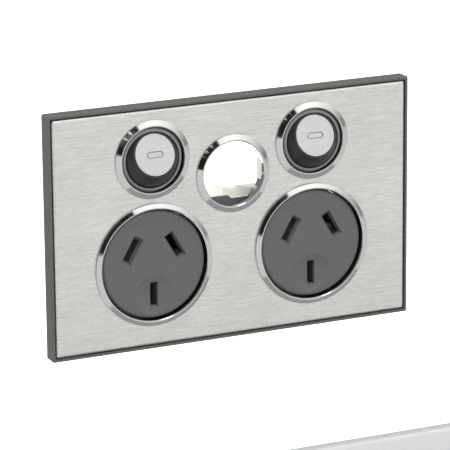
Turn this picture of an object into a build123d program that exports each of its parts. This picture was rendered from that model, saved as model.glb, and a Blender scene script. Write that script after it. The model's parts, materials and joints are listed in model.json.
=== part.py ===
"""Twin switched socket outlet: a clip-on steel cover over two earthed flat-pin sockets and two rocker switches.

The outlet is drawn lying on its back: x runs to the right, y up the wall and z out of the wall, in
millimetres, from the centre of the wall plane. It is stood up at the end, with +Z up and its front
towards -Y. Each piece is one solid, or one group of like solids, in parts/NAME.step.
"""
from build123d import *
from math import atan2, cos, radians, sin, sqrt
import os

# Cover
cover_width = 117.0
cover_height = 74.0
cover_corner = 1.6
rim_front = 5.2
rim_width = 0.9
rim_edge = 0.3
rim_gap = 0.4
frame_wall = 1.6
frame_side = 1.8
frame_foot = 0.15
shadow_depth = 0.4
shadow_height = 0.6

# Steel skin
skin_front = 5.4
skin_thickness = 0.6
skin_roll = 0.75
skin_corner = 1.1
skin_return = 1.1
skin_seat = 0.16
groove_slack = 0.15

# Where the sockets, the switches and the spare place are
socket_offset = 25.8
switch_offset = 25.9
left_switch_play = 0.2
row_pitch = 31.95
top_margin_share = 0.3723
spare_drop = 7.15

# Rings
ring_front = 6.4
ring_flank = 0.4
ring_crest = 0.35
ring_undercut = 0.2
ring_seat = 0.1
socket_ring_outer = 18.65
socket_ring_inner = 16.9
socket_collar_wall = 0.75
switch_ring_outer = 11.85
switch_ring_inner = 9.8
switch_collar_inner = 10.65
switch_collar_wall = 0.6
switch_lip = 0.9
spare_finger_relief = 0.25
spare_collar_wall = 0.95
collar_back = 2.6
finger_slot = 1.4
finger_count = 8
spare_finger_place = 36.0
spare_finger_span = 34.0
barb = 0.25
barb_height = 0.3
barb_gap = 0.1

# Grid plate
grid_slack = 0.4
grid_front = 3.0
grid_web = 2.0
grid_rim = 2.0
pip_radius = 0.35
pip_count = 3
pip_pitch_x = 40.0
pip_pitch_y = 36.0
collar_room = 0.25
collar_floor = 2.2
screw_pitch = 84.0
screw_hole = 2.1
screw_sink = 4.0
screw_sink_depth = 1.6
screw_boss = 4.4
spare_window_width = 22.9
spare_window_above = 12.0
spare_window_below = 7.75
spare_window_corner = 1.5
spare_step_height = 1.05
spare_step_start = 0.1
spare_step_end = 1.2
spare_pocket_end = 9.0
spare_pocket_depth = 1.2
spare_pocket_height = 2.4
turning_fit = 0.1

# Socket faces
face_radius = 16.4
face_front = 5.3
face_edge = 0.9
face_plate = 3.0
face_skirt = 1.2
face_lug_radius = 17.6
face_lug_angle = 36.0
pin_centre_rise = 1.0
line_pin_x = 6.86
line_pin_y = 3.96
line_pin_lean = 30.0
earth_pin_y = -10.31
slot_width = 2.05
slot_length = 7.2
slot_mouth_depth = 1.25
slot_mouth_spread = 1.1
slot_mouth_extra = 1.65
earth_slot_length = 6.85
earth_mouth_spread = 0.4
earth_mouth_extra = 0.9
slot_land = 0.3
slot_chamber = 0.45
slot_guide = 1.3
slot_guide_back = -0.6
earth_dish_radius = 5.9
earth_dish_depth = 0.45

# Switch bezels
bezel_front = 6.0
bezel_outer = 9.4
bezel_shoulder = 5.0
bezel_tube = 10.3
bezel_flange = 11.4
bezel_edge = 0.3
ball_gap = 0.2
trunnion_fit = 0.05

# Rockers
pivot = 1.5
ball_radius = 9.45
ball_flat = 6.66
rocker_wall = 1.3
rocker_open = 0.6
rocker_tilt = 17.0
cap_front = 6.75
cap_radius = 6.2
cap_fit = 0.05
cap_thickness = 0.7
cap_edge = 0.12
mark_length = 5.3
mark_width = 2.0
mark_depth = 0.25
trunnion_radius = 1.25
trunnion_end = 10.2
trunnion_boss = 2.2
trunnion_boss_inner = 6.4
leg_radius = 3.2
leg_end = 6.2
leg_bore = 2.0
leg_bore_depth = 7.2
web_thickness = 1.4

# Plungers and springs
plunger_fit = 0.05
plunger_tip = 8.5
plunger_length = 5.0
spring_wire = 0.25
spring_clearance = 0.1
spring_turns = 5

# Moving contacts
contact_tilt = 8.0
contact_bend = 12.0
contact_thickness = 1.0
contact_width = 4.0
contact_upper_arm = 6.2
contact_lower_arm = 4.8
contact_floor_gap = 0.16
fulcrum_radius = 0.4
fulcrum_fit = 0.1
tip_place = 5.0
moving_tip_radius = 1.2
moving_tip_height = 0.6
fixed_tip_radius = 1.4
fixed_tip_height = 0.8
closed_gap = 0.4

# Rear body
body_front = -1.0
body_rise = 12.1
body_drop = 15.9
body_wall = 1.6
body_corner = 1.2
body_rear_fall = 2.5
clip_side_room = 0.4
wing_width = 16.8
wing_rise = 8.1
ear_inset = 1.4
ear_rise = 18.6
ear_radius = 2.9
ear_thickness = 2.0
post_x = 4.8
post_rise = 3.55
post_radius = 2.95
rib_thickness = 1.4

# The tower over the terminals, seen through the spare place
tower_left = 5.1
tower_step = 9.0
tower_step_width = 0.7
tower_slope_end = 13.5
tower_front = -12.9
tower_first_height = 3.1
tower_first_low = 2.55
tower_second_height = 3.7
tower_second_low = 2.4
tower_rear_fall = 1.1
tower_room = 0.6

# Brass
brass = 0.8
bar_level = -13.0
line_level = -14.4
clip_gap = 1.4
clip_blade = 0.6
clip_length = 6.2
clip_half_width = 2.3
clip_waist = 5.0
clip_mouth = 1.9
clip_front = -1.8
clip_shoulder = -10.6
line_bus_rise = 10.2
bus_width = 3.4
neutral_bus_drop = 2.5
neutral_bus_width = 3.0
earth_bus_drop = 6.9
earth_bus_width = 3.0
fulcrum_strap = 3.0
cheek_gap = 0.2
cheek_thickness = 0.6
cheek_height = 3.2
load_leg = 3.0
load_leg_gap = 0.2
carrier_width = 4.0
carrier_length = 3.1
body_roof_gap = 0.2

# Terminals
terminal_pitch = 10.0
terminal_width = 6.4
terminal_height = 7.8
terminal_floor_gap = 0.6
terminal_front = -14.0
terminal_depth = 5.4
wire_bore = 2.1
wire_level = -16.6
wire_entry = 2.6
wire_stop = 1.0
terminal_link = 4.0
terminal_screw_radius = 1.3
terminal_screw_head = 2.0
terminal_screw_head_height = 1.6
terminal_screw_fit = 0.05
terminal_screw_hole = 2.3
screw_slot = 0.6
screw_slot_depth = 0.6

# Body screws
body_screw_radius = 1.2
body_screw_fit = 0.05
body_screw_head = 2.1
body_screw_head_height = 1.6
body_screw_head_room = 0.2
body_screw_tip = 2.4

# Levels worked out from the sizes above
skin_back = skin_front - skin_thickness
skin_width = cover_width - 2 * (rim_width + rim_gap)
skin_height = cover_height - 2 * (rim_width + rim_gap)
frame_back = skin_back - frame_wall
groove_floor = skin_front - skin_return - groove_slack
top_margin = top_margin_share * (cover_height - row_pitch - switch_ring_outer - socket_ring_outer)
switch_height = cover_height / 2 - top_margin - switch_ring_outer
socket_height = switch_height - row_pitch
spare_height = switch_height - spare_drop
grid_width = cover_width - 2 * (frame_side + grid_slack)
grid_height = cover_height - 2 * (frame_side + grid_slack)
web_back = grid_front - grid_web
bar_back = bar_level - brass
line_back = line_level - brass
terminal_back = terminal_front - terminal_depth
terminal_drop = body_drop - body_wall - terminal_floor_gap
terminal_bottom = socket_height - terminal_drop
terminal_top = terminal_bottom + terminal_height
line_bus_top = socket_height + line_bus_rise
neutral_bus_bottom = socket_height - neutral_bus_drop
earth_bus_bottom = socket_height - earth_bus_drop
fulcrum_level = pivot - plunger_tip - contact_floor_gap - contact_thickness
fixed_tip_front = fulcrum_level - closed_gap
pin_height = socket_height + pin_centre_rise
clip_lean = radians(line_pin_lean)
clip_reach = clip_half_width * cos(clip_lean) + clip_length / 2 * sin(clip_lean)
body_width = 2 * (socket_offset + line_pin_x + clip_reach + clip_side_room + body_wall)
body_bottom = socket_height - body_drop
body_top = socket_height + body_rise
body_back = terminal_back - body_wall
ear_x = body_width / 2 - ear_inset
ear_y = socket_height + ear_rise
post_y = socket_height + post_rise
wing_top = switch_height + wing_rise
wing_roof = wing_top - body_wall
wing_back = bar_back - body_wall
socket_collar_outer = socket_ring_inner + socket_collar_wall
switch_collar_outer = switch_collar_inner + switch_collar_wall
spare_collar_inner = switch_ring_inner + spare_finger_relief
spare_collar_outer = spare_collar_inner + spare_collar_wall
spare_lip = ring_front - skin_back

SIDES = {"left": -1, "right": 1}
TERMINAL_STEPS = {"active": -1, "earth": 0, "neutral": 1, "loop": 2}
SWITCH_X = {"left": -switch_offset - left_switch_play, "right": switch_offset}


def slab(sketch, bottom, top):
    """Fill a sketch from one height to another."""
    return extrude(Pos(0, 0, bottom) * sketch, amount=top - bottom)


def block(left, right, low, high, bottom, top):
    """A box between two values of x, two of y and two of z."""
    middle = Pos((left + right) / 2, (low + high) / 2)
    return slab(middle * Rectangle(right - left, high - low), bottom, top)


def rod(radius, bottom, top, x=0.0, y=0.0):
    """A round bar that stands on the wall plane."""
    return slab(Pos(x, y) * Circle(radius), bottom, top)


def turned(section, x=0.0, y=0.0):
    """Turn a section, drawn as radius and height, about the line out of the wall at x and y."""
    return Pos(x, y) * revolve(Plane.XZ * section, Axis.Z)


def outline(points):
    """A closed outline through the points."""
    return make_face(Polyline(*points, close=True))


def pie(radius, span):
    """A slice about the x axis, wide enough to reach past the radius."""
    half = radians(span / 2)
    return outline([(0, 0), (radius, -radius * sin(half) / cos(half)), (radius, radius * sin(half) / cos(half))])


def pin_slots():
    """Each pin's name, centre and lean, about the centre of the three pins."""
    return {
        "active": (-line_pin_x, line_pin_y, -line_pin_lean),
        "neutral": (line_pin_x, line_pin_y, line_pin_lean),
        "earth": (0.0, earth_pin_y, 0.0),
    }


def pin_place(side, pin):
    """The location of one pin of one socket, with y along the slot."""
    x, y, lean = pin_slots()[pin]
    return Pos(SIDES[side] * socket_offset + x, pin_height + y) * Rot(0, 0, lean)


# Cover

def steel_skin():
    """A shallow folded pan: a sheet with a rolled edge all round and five round holes."""
    sheet = slab(RectangleRounded(skin_width, skin_height, skin_corner), skin_front - skin_return, skin_front)
    sheet = fillet(sheet.faces().sort_by(Axis.Z)[-1].edges(), skin_roll)
    inner_roll = skin_roll - skin_thickness
    hollow = RectangleRounded(
        skin_width - 2 * skin_thickness,
        skin_height - 2 * skin_thickness,
        skin_corner - skin_thickness,
    )
    hollow = slab(hollow, skin_front - skin_return, skin_back)
    sheet -= fillet(hollow.faces().sort_by(Axis.Z)[-1].edges(), inner_roll)
    return sheet - collar_holes(skin_back, skin_front)


def collar_holes(bottom, top):
    """The five round holes that the rings' collars pass through."""
    holes = [rod(spare_collar_outer + ring_seat, bottom, top, 0, spare_height)]
    for sign in SIDES.values():
        holes.append(rod(socket_collar_outer + ring_seat, bottom, top, sign * socket_offset, socket_height))
        holes.append(rod(switch_collar_outer + ring_seat, bottom, top, sign * switch_offset, switch_height))
    return holes


def cover_frame():
    """The moulded surround: a lip round the skin, the groove for its folded edge, a wall and four sides."""
    frame = slab(RectangleRounded(cover_width, cover_height, cover_corner), frame_foot, rim_front)
    frame = fillet(frame.faces().sort_by(Axis.Z)[-1].edges(), rim_edge)
    inside_lip = RectangleRounded(
        cover_width - 2 * rim_width,
        cover_height - 2 * rim_width,
        cover_corner - rim_width,
    )
    plateau_inset = 2 * (skin_thickness + skin_seat)
    plateau = RectangleRounded(
        skin_width - plateau_inset,
        skin_height - plateau_inset,
        skin_corner - skin_thickness,
    )
    frame -= slab(inside_lip, skin_back, rim_front)
    frame -= slab(inside_lip - plateau, groove_floor, skin_back)
    hollow = Rectangle(cover_width - 2 * frame_side, cover_height - 2 * frame_side)
    frame -= slab(hollow, frame_foot, frame_back)
    outside = RectangleRounded(cover_width, cover_height, cover_corner)
    waist = RectangleRounded(
        cover_width - 2 * shadow_depth,
        cover_height - 2 * shadow_depth,
        cover_corner - shadow_depth,
    )
    frame -= slab(outside - waist, frame_foot, frame_foot + shadow_height)
    return frame - collar_holes(frame_back, skin_back)


def even_gaps(reach):
    """The gaps that part a collar into equal snap fingers."""
    return Sketch() + PolarLocations(0, finger_count) * (Pos(reach / 2, 0) * Rectangle(reach, finger_slot))


def spare_gaps(reach):
    """The gaps of the spare place's collar, which leave four pairs of fingers."""
    slot = Pos(reach / 2, 0) * Rectangle(reach, finger_slot)
    places = [Rot(0, 0, half_turn + sign * spare_finger_place) for half_turn in (0, 180) for sign in SIDES.values()]
    pairs = Sketch() + [place * pie(reach, spare_finger_span) for place in places]
    return Circle(reach) - pairs + [place * slot for place in places]


def ring(outer, inner, lip, collar_inner, collar_outer, gaps, gap_top):
    """A bright ring: a sloping crest over the skin and a collar whose barbed fingers hold it in the wall.

    A collar wider inside than the ring leaves a lip of the given depth at its front."""
    barb_top = frame_back - barb_gap
    section = [
        (collar_inner, collar_back),
        (collar_outer, collar_back),
        (collar_outer + barb, barb_top - barb_height),
        (collar_outer + barb, barb_top),
        (collar_outer, barb_top),
        (collar_outer, skin_front),
        (outer - ring_undercut, skin_front),
        (outer, skin_front + ring_undercut),
        (outer, skin_front + ring_flank),
        (inner + 2 * ring_crest, ring_front),
        (inner + ring_crest, ring_front),
        (inner, ring_front - ring_crest),
    ]
    if collar_inner > inner:
        section += [(inner, ring_front - lip), (collar_inner, ring_front - lip)]
    reach = collar_outer + 2 * barb
    return turned(outline(section)) - slab(gaps(reach) - Circle(inner / 2), collar_back, gap_top)


def socket_ring(side):
    shape = ring(socket_ring_outer, socket_ring_inner, 0, socket_ring_inner, socket_collar_outer,
                 even_gaps, frame_back)
    return Pos(SIDES[side] * socket_offset, socket_height) * shape


def switch_ring(side):
    shape = ring(switch_ring_outer, switch_ring_inner, switch_lip, switch_collar_inner, switch_collar_outer,
                 even_gaps, frame_back)
    return Pos(SIDES[side] * switch_offset, switch_height) * shape


def aperture_ring():
    shape = ring(switch_ring_outer, switch_ring_inner, spare_lip, spare_collar_inner, spare_collar_outer,
                 spare_gaps, skin_back)
    return Pos(0, spare_height) * shape


# Grid plate

def grid_plate():
    """The plate that is screwed to the wall and carries everything: a web with a rim that meets the wall."""
    plate = slab(Rectangle(grid_width, grid_height), 0, grid_front)
    plate -= slab(Rectangle(grid_width - 2 * grid_rim, grid_height - 2 * grid_rim), 0, web_back)
    for sign in SIDES.values():
        plate += rod(screw_boss, 0, web_back, sign * screw_pitch / 2)
    plate += grip_pips()
    for sign in SIDES.values():
        place = Pos(sign * socket_offset, socket_height)
        plate -= place * rod(face_radius + turning_fit, 0, grid_front)
        plate -= place * rod(socket_collar_outer + barb + collar_room, collar_floor, grid_front)
        plate -= place * rod(face_lug_radius + turning_fit, 0, web_back)
        place = Pos(sign * switch_offset, switch_height)
        plate -= place * rod(switch_collar_outer + barb + collar_room, collar_floor, grid_front)
    for switch_x in SWITCH_X.values():
        plate -= rod(bezel_tube + turning_fit, web_back, grid_front, switch_x, switch_height)
        plate -= rod(bezel_flange + turning_fit, 0, web_back, switch_x, switch_height)
    plate -= spare_window()
    for sign in SIDES.values():
        plate -= screw_bore(sign)
    for x, y in body_screw_places():
        plate -= rod(body_screw_radius + body_screw_fit, web_back, body_screw_tip + body_screw_fit, x, y)
    return plate


def grip_pips():
    """Small half-round pips on the plate's edge, which grip the cover's sides."""
    half_width = grid_width / 2
    half_height = grid_height / 2
    pips = []
    for sign in SIDES.values():
        for place in GridLocations(pip_pitch_x, 0, pip_count, 1).locations:
            pips.append(Pos(0, sign * half_height) * place * Circle(pip_radius))
        for place in GridLocations(0, pip_pitch_y, 1, 2).locations:
            pips.append(Pos(sign * half_width, 0) * place * Circle(pip_radius))
    return [slab(pip, web_back, grid_front) for pip in pips]


def spare_window():
    """The window behind the spare place, with a step in its sill, a pocket below the step and the ring's room."""
    height = spare_window_above + spare_window_below
    middle = spare_height + (spare_window_above - spare_window_below) / 2
    sill = spare_height - spare_window_below
    half_width = spare_window_width / 2
    window = Pos(0, middle) * RectangleRounded(spare_window_width, height, spare_window_corner)
    step = outline([
        (spare_step_start, sill + spare_window_corner),
        (spare_step_start, sill),
        (spare_step_end, sill - spare_step_height),
        (half_width - spare_window_corner, sill - spare_step_height),
        (half_width, sill + spare_window_corner),
    ])
    cut = slab(window + step, 0, grid_front)
    low_sill = sill - spare_step_height
    cut += block(spare_step_end, spare_pocket_end, low_sill - spare_pocket_height, low_sill,
                 grid_front - spare_pocket_depth, grid_front)
    return cut + rod(spare_collar_outer + barb + collar_room, collar_floor, grid_front, 0, spare_height)


def screw_bore(sign):
    """A hole for a fixing screw, sunk for its head."""
    sink_bottom = grid_front - screw_sink_depth
    section = outline([
        (0, 0),
        (screw_hole, 0),
        (screw_hole, sink_bottom),
        (screw_sink, grid_front),
        (0, grid_front),
    ])
    return turned(section, sign * screw_pitch / 2)


# Socket faces

def socket_face(side):
    """A dark moulded disc with a rounded edge, three tapered slots and a shallow dish round the earth slot."""
    plate_back = face_front - face_plate
    disc = rod(face_radius, plate_back, face_front)
    disc = fillet(disc.edges().sort_by(Axis.Z)[-1], face_edge)
    face = disc + slab(Circle(face_radius) - Circle(face_radius - face_skirt), body_front, plate_back)
    face += slab(lugs(), body_front, web_back)
    face = Pos(SIDES[side] * socket_offset, socket_height) * face
    guides = []
    cuts = []
    for pin in pin_slots():
        place = pin_place(side, pin)
        length = earth_slot_length if pin == "earth" else slot_length
        guide = Rectangle(slot_width + 2 * slot_guide, length + 2 * slot_guide)
        chamber = Rectangle(slot_width + 2 * slot_chamber, length + 2 * slot_chamber)
        chamber_top = face_front - slot_mouth_depth - slot_land
        guides.append(place * slab(guide, slot_guide_back, plate_back))
        cuts.append(place * slot_mouth(pin, length))
        cuts.append(place * slab(Rectangle(slot_width, length), slot_guide_back, face_front))
        cuts.append(place * slab(chamber, slot_guide_back, chamber_top))
    face += guides
    cuts.append(pin_place(side, "earth") * dish())
    return face - cuts


def dish():
    """The ball that leaves the shallow round dish in the face's front."""
    radius = (earth_dish_radius ** 2 + earth_dish_depth ** 2) / (2 * earth_dish_depth)
    return Pos(0, 0, face_front - earth_dish_depth + radius) * Sphere(radius)


def lugs():
    """Three lugs that the grid plate's web holds down, clear of the fixing screws."""
    arc = Circle(face_lug_radius) - Circle(face_radius - face_skirt)
    return Sketch() + PolarLocations(0, 3, start_angle=90) * (arc & pie(2 * face_lug_radius, face_lug_angle))


def slot_mouth(pin, length):
    """The taper that leads a pin into its slot."""
    spread = earth_mouth_spread if pin == "earth" else slot_mouth_spread
    extra = earth_mouth_extra if pin == "earth" else slot_mouth_extra
    deep = Pos(0, 0, face_front - slot_mouth_depth) * Rectangle(slot_width, length)
    wide = Pos(0, 0, face_front) * Rectangle(slot_width + spread, length + extra)
    return loft([deep.face(), wide.face()])


# Switches

def switch_bezel(side):
    """The collar round a rocker: a hollow that follows the rocker's ball, bearing holes and a rear flange."""
    socket_radius = ball_radius + ball_gap
    mouth = sqrt(socket_radius ** 2 - (bezel_front - pivot) ** 2)
    lean = atan2(bezel_front - pivot, mouth) / 2
    half_way = (socket_radius * cos(lean), pivot + socket_radius * sin(lean))
    straight = Polyline(
        (mouth, bezel_front),
        (bezel_outer - bezel_edge, bezel_front),
        (bezel_outer, bezel_front - bezel_edge),
        (bezel_outer, bezel_shoulder),
        (bezel_tube, bezel_shoulder),
        (bezel_tube, web_back),
        (bezel_flange, web_back),
        (bezel_flange, body_front),
        (socket_radius, body_front),
        (socket_radius, pivot),
    )
    hollow = ThreePointArc((socket_radius, pivot), half_way, (mouth, bezel_front))
    bezel = turned(make_face(straight + hollow))
    bearing = Rot(0, 90, 0) * Cylinder(trunnion_radius + trunnion_fit, 2 * (bezel_tube + turning_fit))
    bezel -= Pos(0, 0, pivot) * bearing
    return Pos(SWITCH_X[side], switch_height) * bezel


def at_rocker(side):
    """The place of a rocker's own axes: its pivot, with z out through its cap, tipped up as when off."""
    return Pos(SWITCH_X[side], switch_height, pivot) * Rot(-rocker_tilt, 0, 0)


def rocker(side):
    """A hollow ball with a flat front, a leg for the plunger, a web and two trunnions."""
    ball = Sphere(ball_radius)
    front_half = block(-ball_radius, ball_radius, -ball_radius, ball_radius, rocker_open, ball_flat)
    shell = ball & front_half
    hollow = Sphere(ball_radius - rocker_wall)
    ceiling = ball_flat - cap_thickness - rocker_wall
    shell -= hollow & block(-ball_radius, ball_radius, -ball_radius, ball_radius, 0, ceiling)
    boss_length = ball_radius - trunnion_boss_inner
    boss_middle = (ball_radius + trunnion_boss_inner) / 2
    trunnion_length = trunnion_end - trunnion_boss_inner
    trunnion_middle = (trunnion_end + trunnion_boss_inner) / 2
    for sign in SIDES.values():
        boss = Pos(sign * boss_middle, 0, 0) * Rot(0, 90, 0) * Cylinder(trunnion_boss, boss_length)
        trunnion = Pos(sign * trunnion_middle, 0, 0) * Rot(0, 90, 0) * Cylinder(trunnion_radius, trunnion_length)
        shell += (boss & ball) + trunnion
    half_web = trunnion_boss_inner + rocker_wall
    shell += block(-half_web, half_web, -web_thickness / 2, web_thickness / 2, -web_thickness / 2, ceiling) & ball
    shell += rod(leg_radius, -leg_end, ceiling)
    shell -= rod(leg_bore, -leg_end, leg_bore_depth - leg_end)
    shell -= rod(cap_radius + cap_fit, cap_front - cap_thickness, ball_flat)
    return at_rocker(side) * shell


def rocker_cap(side):
    """A light disc let into the rocker's flat front, with a shallow round-ended mark."""
    cap = rod(cap_radius, cap_front - cap_thickness, cap_front)
    cap = fillet(cap.edges().sort_by(Axis.Z)[-1], cap_edge)
    mark = SlotOverall(mark_length, mark_width)
    cap -= slab(mark, cap_front - mark_depth, cap_front)
    return at_rocker(side) * cap


def plunger(side):
    """The plunger in the rocker's leg: a rod with a round nose, on the moving contact."""
    radius = leg_bore - plunger_fit
    nose = -plunger_tip + radius
    shape = Pos(0, 0, nose) * Sphere(radius)
    shape += rod(radius, nose, plunger_length - plunger_tip)
    return at_rocker(side) * shape


def rocker_spring(side):
    """The coil spring between the bottom of the leg's bore and the plunger."""
    coil_radius = leg_bore - spring_clearance - spring_wire
    bottom = plunger_length - plunger_tip + spring_wire
    top = leg_bore_depth - leg_end - spring_wire
    height = top - bottom
    path = Helix(height / spring_turns, height, coil_radius)
    wire = Plane(path @ 0, z_dir=path % 0) * Circle(spring_wire)
    return at_rocker(side) * Pos(0, 0, bottom) * sweep(wire, path=path)


# Contacts

def at_fulcrum(side):
    """The place of a moving contact's own axes: its fulcrum, tipped as when the switch is off."""
    return Pos(SWITCH_X[side], switch_height, fulcrum_level) * Rot(contact_tilt, 0, 0)


def moving_contact(side):
    """A see-saw strip, bent to a shallow V, with a round notch that sits on the fulcrum."""
    bend = radians(contact_bend)
    upper = (contact_upper_arm * cos(bend), contact_upper_arm * sin(bend))
    lower = (-contact_lower_arm * cos(bend), contact_lower_arm * sin(bend))
    lift = contact_thickness / cos(bend)
    side_view = outline([
        (0, 0),
        upper,
        (upper[0], upper[1] + lift),
        (0, lift),
        (lower[0], lower[1] + lift),
        lower,
    ])
    side_view -= Circle(fulcrum_radius + fulcrum_fit)
    strip = extrude(Plane.YZ * side_view, amount=contact_width / 2, both=True)
    return at_fulcrum(side) * strip


def moving_tip(side):
    """The contact tip under the see-saw's upper arm."""
    tip = rod(moving_tip_radius, -moving_tip_height, 0)
    tip = fillet(tip.edges().sort_by(Axis.Z)[0], moving_tip_height / 4)
    return at_fulcrum(side) * Rot(contact_bend, 0, 0) * Pos(0, tip_place, 0) * tip


def fixed_tip(side):
    """The contact tip on the load contact, which the moving tip meets when the switch is on."""
    tip = rod(fixed_tip_radius, fixed_tip_front - fixed_tip_height, fixed_tip_front)
    tip = fillet(tip.edges().sort_by(Axis.Z)[-1], fixed_tip_height / 4)
    return Pos(SWITCH_X[side], switch_height + tip_place) * tip


def clip(side, pin):
    """The spring clip for one pin: a web, and two blades that close to the pin and open at the mouth."""
    half_gap = clip_gap / 2
    waist = -clip_waist
    right = [
        (clip_half_width, bar_back),
        (clip_half_width, clip_shoulder),
        (half_gap + clip_blade, waist),
        (clip_mouth + clip_blade, clip_front),
        (clip_mouth, clip_front),
        (half_gap, waist),
        (clip_half_width - clip_blade, clip_shoulder),
        (clip_half_width - clip_blade, bar_level),
    ]
    left = [(-x, z) for x, z in reversed(right)]
    strip = extrude(Plane.XZ * outline(right + left), amount=clip_length / 2, both=True)
    return pin_place(side, pin) * strip


def load_contact(side):
    """The switched strap: the fixed contact's carrier, a leg down the wing and the active clip."""
    x = SWITCH_X[side]
    carrier_top = fixed_tip_front - fixed_tip_height
    roof = wing_roof - body_roof_gap
    carrier_low = roof - carrier_length
    half = carrier_width / 2
    outer = SIDES[side] * switch_offset - wing_width / 2 + body_wall + load_leg_gap
    strap = block(x - half, x + half, carrier_low, roof, carrier_top - brass, carrier_top)
    strap += block(x - half, x + half, roof - brass, roof, bar_back, carrier_top)
    strap += block(outer, x + half, carrier_low, roof, bar_back, bar_level)
    clip_y = pin_height + line_pin_y
    strap += block(outer, outer + load_leg, clip_y, roof, bar_back, bar_level)
    return strap + clip(side, "active")


def line_bar():
    """The unswitched active bar: a link to its terminal, a bus across the body and a fulcrum behind each switch."""
    bus_end = switch_offset + fulcrum_strap / 2
    bus_low = line_bus_top - bus_width
    bar = block(-bus_end - left_switch_play, bus_end, bus_low, line_bus_top, line_back, line_level)
    for side in SIDES:
        x = SWITCH_X[side]
        half = fulcrum_strap / 2
        bar += block(x - half, x + half, bus_low, switch_height + cheek_height / 2, bar_back, bar_level)
        bar += block(x - half, x + half, bus_low, line_bus_top, line_level, bar_back)
        bar += block(x - half, x + half, switch_height - brass / 2, switch_height + brass / 2,
                     bar_level, fulcrum_level)
        bar += Pos(x, switch_height, fulcrum_level) * Rot(0, 90, 0) * Cylinder(
            fulcrum_radius, contact_width + 2 * (cheek_gap + cheek_thickness))
        cheek_inner = contact_width / 2 + cheek_gap
        cheek_outer = cheek_inner + cheek_thickness
        cheek_low = switch_height - cheek_height / 2
        cheek_high = switch_height + cheek_height / 2
        cheek_top = fulcrum_level + contact_thickness
        bar += block(x - cheek_outer, x - cheek_inner, cheek_low, cheek_high, bar_back, cheek_top)
        bar += block(x + cheek_inner, x + cheek_outer, cheek_low, cheek_high, bar_back, cheek_top)
        bar += block(x - cheek_outer, x + cheek_outer, cheek_low, cheek_high, bar_back, bar_level)
    x = -terminal_pitch
    return bar + block(x - terminal_link / 2, x + terminal_link / 2, terminal_top, line_bus_top,
                       line_back, line_level)


def neutral_bar():
    """The neutral bar: a link to its terminal, a bus below the active clips and a clip for each socket."""
    bus_top = neutral_bus_bottom + neutral_bus_width
    clip_x = {side: SIDES[side] * socket_offset + line_pin_x for side in SIDES}
    half = clip_half_width
    bar = block(clip_x["left"] - half, clip_x["right"] + half, neutral_bus_bottom, bus_top, bar_back, bar_level)
    for side in SIDES:
        x = clip_x[side]
        bar += block(x - half, x + half, neutral_bus_bottom, pin_height + line_pin_y, bar_back, bar_level)
        bar += clip(side, "neutral")
    x = terminal_pitch
    half = terminal_link / 2
    bar += block(x - half, x + half, terminal_top, bus_top, line_back, line_level)
    return bar + block(x - half, x + half, neutral_bus_bottom, bus_top, line_back, bar_level)


def earth_bar():
    """The earth bar: a link to its terminal, a bus between the sockets and an earth clip for each."""
    bus_top = earth_bus_bottom + earth_bus_width
    bar = block(-socket_offset, socket_offset, earth_bus_bottom, bus_top, bar_back, bar_level)
    for side in SIDES:
        bar += clip(side, "earth")
    half = terminal_link / 2
    return bar + block(-half, half, earth_bus_bottom, terminal_top, terminal_front, bar_back)


def terminal(x):
    """A brass tunnel for the wires, open at the bottom, with a hole for its screw behind."""
    half = terminal_width / 2
    tunnel = block(x - half, x + half, terminal_bottom, terminal_top, terminal_back, terminal_front)
    tunnel = fillet(tunnel.edges().filter_by(Axis.Y), terminal_edge())
    bore_length = terminal_height - wire_stop
    bore = Pos(x, terminal_bottom + bore_length / 2, wire_level) * Rot(90, 0, 0) * Cylinder(wire_bore, bore_length)
    tunnel -= bore
    return tunnel - rod(terminal_screw_radius + terminal_screw_fit, terminal_back, wire_level, x, screw_y())


def terminal_edge():
    """The rounding along a terminal's sides, from the wall that its bore leaves."""
    return (terminal_width / 2 - wire_bore) / 2


def screw_y():
    """The height of the terminal screws: the middle of the tunnels."""
    return terminal_bottom + terminal_height / 2


def terminal_places():
    """The active, earth, neutral and loop terminals, from the left."""
    return {name: step * terminal_pitch for name, step in TERMINAL_STEPS.items()}


def slotted_screw(radius, head_radius, head_height, tip, seat):
    """A plain screw with a slotted head behind its seat, pointing out of the wall."""
    screw = rod(radius, seat, tip)
    head = rod(head_radius, seat - head_height, seat)
    head = fillet(head.edges().sort_by(Axis.Z)[0], head_height / 4)
    cut = Rectangle(2 * head_radius, screw_slot)
    return screw + head - slab(cut, seat - head_height, seat - head_height + screw_slot_depth)


def terminal_screws():
    """The four terminal screws, driven from behind, with their tips at the wires' bores."""
    tip = wire_level - wire_bore - terminal_screw_fit
    seat = terminal_back - terminal_screw_fit
    screw = slotted_screw(terminal_screw_radius, terminal_screw_head, terminal_screw_head_height, tip, seat)
    return Compound([Pos(x, screw_y()) * screw for x in terminal_places().values()])


# Rear body

def body_screw_places():
    """Two ears at the sides and two posts near the middle."""
    ears = [(sign * ear_x, ear_y) for sign in SIDES.values()]
    return ears + [(sign * post_x, post_y) for sign in SIDES.values()]


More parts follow.
